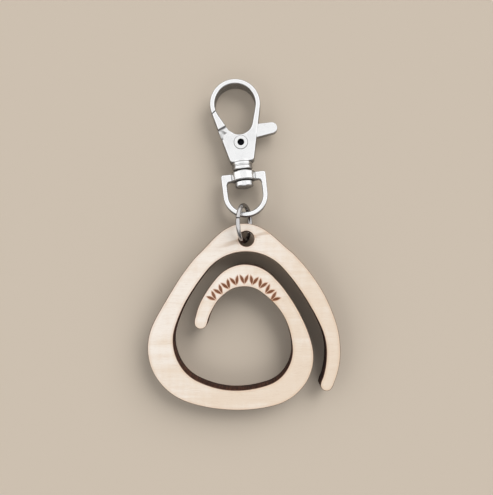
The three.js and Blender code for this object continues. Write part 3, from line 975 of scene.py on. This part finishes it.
def ring_mesh(metal):
    """The jump ring's wire, with the slightly pinched ends that a cutter leaves."""
    middle, radius, wire_radius, u, v = ring_layout()
    start = CUT_HALF / radius
    near = [(start + reach / radius, share) for reach, share in CUT_PINCH]
    first = near[-1][0] + 0.3 * MM / radius
    body = [(angle, 1.0) for angle in np.linspace(first, CIRCLE - first, metal.wire_steps)]
    far = [(CIRCLE - angle, share) for angle, share in reversed(near)]
    sides = metal.wire_sides
    points = []
    for angle, share in near + body + far:
        spoke = math.cos(angle) * u + math.sin(angle) * v
        for k in range(sides):
            turn = CIRCLE * k / sides
            reach = radius + share * wire_radius * math.cos(turn)
            points.append(middle + reach * spoke + share * wire_radius * math.sin(turn) * np.cross(u, v))
    faces = []
    rings = len(points) // sides
    for i in range(rings - 1):
        for k in range(sides):
            a, b = i * sides + k, i * sides + (k + 1) % sides
            faces.append((a, a + sides, b + sides, b))
    surface = bmesh.new()
    corners = [surface.verts.new(point) for point in points]
    for face in faces:
        surface.faces.new([corners[i] for i in face])
    bmesh.ops.remove_doubles(surface, verts=surface.verts, dist=WELD)
    bmesh.ops.recalc_face_normals(surface, faces=surface.faces)
    return mesh_from(surface, "ring_wire")


class MARKER_HOLDER_OT_ring(bpy.types.Operator):
    """Builds the jump ring between the spiral and the clasp"""

    bl_idname = "marker_holder.ring"
    bl_label = "Jump Ring"

    def execute(self, context):
        metal = scene_settings("metal")
        finish = plate_finish("ring_plate", metal.ring_steel, metal.cloud, metal.ring_gloss)
        piece = link_piece("ring_wire", ring_mesh(metal))
        mark_tucked(piece, frame_tree())
        stand_for(piece, "jump_ring", "ring", finish)
        return {"FINISHED"}


class MARKER_HOLDER_OT_castings(bpy.types.Operator):
    """Builds the clasp's plated pieces: the D, the rivet, the hook and the gate lever"""

    bl_idname = "marker_holder.castings"
    bl_label = "Clasp Castings"

    def execute(self, context):
        pieces = {
            "bail_casting": "swivel_bail",
            "rivet_head": "swivel_rivet",
            "hook_casting": "hook_body",
            "lever_casting": "gate_lever",
        }
        tree = frame_tree()
        for name, node in pieces.items():
            piece = casting(name, node)
            shade_true(piece)
            mark_tucked(piece, tree)
            stand_for(piece, node, body_of(node), nickel())
        return {"FINISHED"}


class MARKER_HOLDER_OT_pin(bpy.types.Operator):
    """Builds the dark pin that the gate lever turns on"""

    bl_idname = "marker_holder.pin"
    bl_label = "Pivot Pin"

    def execute(self, context):
        metal = scene_settings("metal")
        finish = steel_material("pin_steel", list(metal.pin_steel), 0.4, (1.5, 1.5, 9))
        piece = casting("pin_turned", "pivot_pin")
        stand_for(piece, "pivot_pin", body_of("pivot_pin"), finish)
        return {"FINISHED"}


class MARKER_HOLDER_OT_spring(bpy.types.Operator):
    """Builds the coil that keeps the gate shut"""

    bl_idname = "marker_holder.spring"
    bl_label = "Gate Spring"

    def execute(self, context):
        metal = scene_settings("metal")
        surface = welded("gate_spring")
        bmesh.ops.join_triangles(
            surface,
            faces=surface.faces,
            angle_face_threshold=math.pi,
            angle_shape_threshold=math.pi,
        )
        piece = link_piece("spring_wire", mesh_from(surface, "spring_wire"))
        piece.modifiers.new("round_wire", "SUBSURF").levels = 2
        finish = steel_material("spring_steel", list(metal.spring_steel), 0.3, (5, 0.6, 5))
        stand_for(applied(piece), "gate_spring", body_of("gate_spring"), finish)
        axis = joint_named("hook_swivel")["axis"]
        foot = min(frame_points("gate_spring"), key=lambda point: point @ np.array(axis))
        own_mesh(piece)
        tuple(axis)
        return {"FINISHED"}


FLOOR_HALF = 3.0
LENS_PIXELS = 501
PHOTO_WIDTH = 493
PHOTO_HEIGHT = 495
UNDER_LENS = (254, 268)
SENSOR = 36.0
KEY_PLACE = (0.54, 0.62, 0.58)


def lay_floor(stage):
    """A large plain floor under the holder."""
    surface = bmesh.new()
    bmesh.ops.create_grid(surface, x_segments=1, y_segments=1, size=FLOOR_HALF)
    floor = link_piece("floor", mesh_from(surface, "floor"))
    paint = Paint(bpy.data.materials.new("floor"))
    # Painted shade in reflections: glossy rays see the floor darker than the camera does.
    glossy = paint.node("LightPath", output="Is Glossy Ray")
    shade = paint.blend(glossy, list(stage.floor), list(stage.floor_shade))
    paint.finish({"Base Color": shade, "Roughness": 0.9, "Specular IOR Level": 0.1})
    floor.data.materials.append(paint.owner)


def hang_lights(stage):
    """A wide far lamp at the upper right, which the metal doesn't show, and a sky over the floor."""
    lamp = bpy.data.lights.new("key", "SUN")
    lamp.energy = stage.key
    lamp.angle = stage.key_width
    key = bpy.data.objects.new("key", lamp)
    key.location = KEY_PLACE
    key.rotation_euler = Vector(KEY_PLACE).to_track_quat("Z", "Y").to_euler()
    key.visible_glossy = False
    bpy.context.scene.collection.objects.link(key)
    world = bpy.data.worlds.new("studio")
    bpy.context.scene.world = world
    paint = Paint(world)
    direction = paint.node("TexCoord", output="Generated")
    height = paint.node("SeparateXYZ", {}, {"Vector": direction}, output="Z")
    forward = paint.node("SeparateXYZ", {}, {"Vector": direction}, output="Y")
    sky = paint.blend(paint.step(height, 0.0, 0.4), [stage.horizon] * 3, [stage.sky] * 3)
    sky = paint.blend(paint.step(height, 0.7, 0.86), sky, [stage.zenith] * 3)
    side = [stage.backdrop_side] * 3
    shine = paint.blend(paint.step(height, 0.75, 0.95), side, [stage.backdrop] * 3)
    shine = paint.blend(paint.step(height, 0.935, 0.985), shine, [stage.crown] * 3)
    dark_side = paint.step(-1 * forward, 0.15, 0.6) * (1 - paint.step(height, 0.35, 0.85))
    shine = paint.blend(dark_side, shine, [stage.shade] * 3)
    glossy = paint.node("LightPath", output="Is Glossy Ray")
    seen = paint.node("LightPath", output="Is Camera Ray")
    backdrop = paint.blend(seen, paint.blend(glossy, sky, shine), list(stage.floor))
    light = paint.node("Background", {}, {"Color": backdrop, "Strength": 1.0})
    paint.node("OutputWorld", {}, {"Surface": light})


def place_camera(stage):
    """Straight down over the holder, with the lens a little off the picture's middle."""
    lens = bpy.data.cameras.new("camera")
    lens.sensor_width = SENSOR
    lens.lens = LENS_PIXELS * SENSOR / PHOTO_HEIGHT
    lens.shift_x = (PHOTO_WIDTH / 2 - UNDER_LENS[0]) / PHOTO_HEIGHT
    lens.shift_y = (UNDER_LENS[1] - PHOTO_HEIGHT / 2) / PHOTO_HEIGHT
    lens.clip_start = 0.005
    lens.clip_end = 20
    camera = bpy.data.objects.new("camera", lens)
    camera.location = (stage.camera_x, stage.camera_y, stage.camera_height)
    bpy.context.scene.collection.objects.link(camera)
    bpy.context.scene.camera = camera


class MARKER_HOLDER_OT_stage(bpy.types.Operator):
    """Lays the floor, hangs the lights and places the camera"""

    bl_idname = "marker_holder.stage"
    bl_label = "Floor, Light and Camera"

    def execute(self, context):
        stage = scene_settings("stage")
        context.scene.view_settings.view_transform = "Standard"
        lay_floor(stage)
        hang_lights(stage)
        place_camera(stage)
        return {"FINISHED"}


GROUPS = {
    "wood": WoodSettings,
    "stitch_row": StitchRowSettings,
    "metal": MetalSettings,
    "stage": StageSettings,
}
OPERATORS = (
    MARKER_HOLDER_OT_wood,
    MARKER_HOLDER_OT_ring,
    MARKER_HOLDER_OT_castings,
    MARKER_HOLDER_OT_pin,
    MARKER_HOLDER_OT_spring,
    MARKER_HOLDER_OT_stage,
)


class MARKER_HOLDER_PT_sidebar(bpy.types.Panel):
    """Lists the holder's settings and the operators that build it"""

    bl_label = "Marker Holder"
    bl_space_type = "VIEW_3D"
    bl_region_type = "UI"
    bl_category = "Marker Holder"

    def draw(self, context):
        for kind, group in GROUPS.items():
            box = self.layout.box()
            box.label(text=kind.replace("_", " ").capitalize())
            settings = scene_settings(kind)
            for name in group.__annotations__:
                box.prop(settings, name)
        for operator in OPERATORS:
            self.layout.operator(operator.bl_idname)


def register():
    for kind, group in GROUPS.items():
        bpy.utils.register_class(group)
        setattr(bpy.types.Scene, "marker_holder_" + kind, PointerProperty(type=group))
    for operator in OPERATORS:
        bpy.utils.register_class(operator)
    bpy.utils.register_class(MARKER_HOLDER_PT_sidebar)


def unregister():
    bpy.utils.unregister_class(MARKER_HOLDER_PT_sidebar)
    for operator in reversed(OPERATORS):
        bpy.utils.unregister_class(operator)
    for kind, group in GROUPS.items():
        delattr(bpy.types.Scene, "marker_holder_" + kind)
        bpy.utils.unregister_class(group)


def main():
    register()
    for operator in OPERATORS:
        group, name = operator.bl_idname.split(".")
        getattr(getattr(bpy.ops, group), name)()


if __name__ == "__main__":
    main()
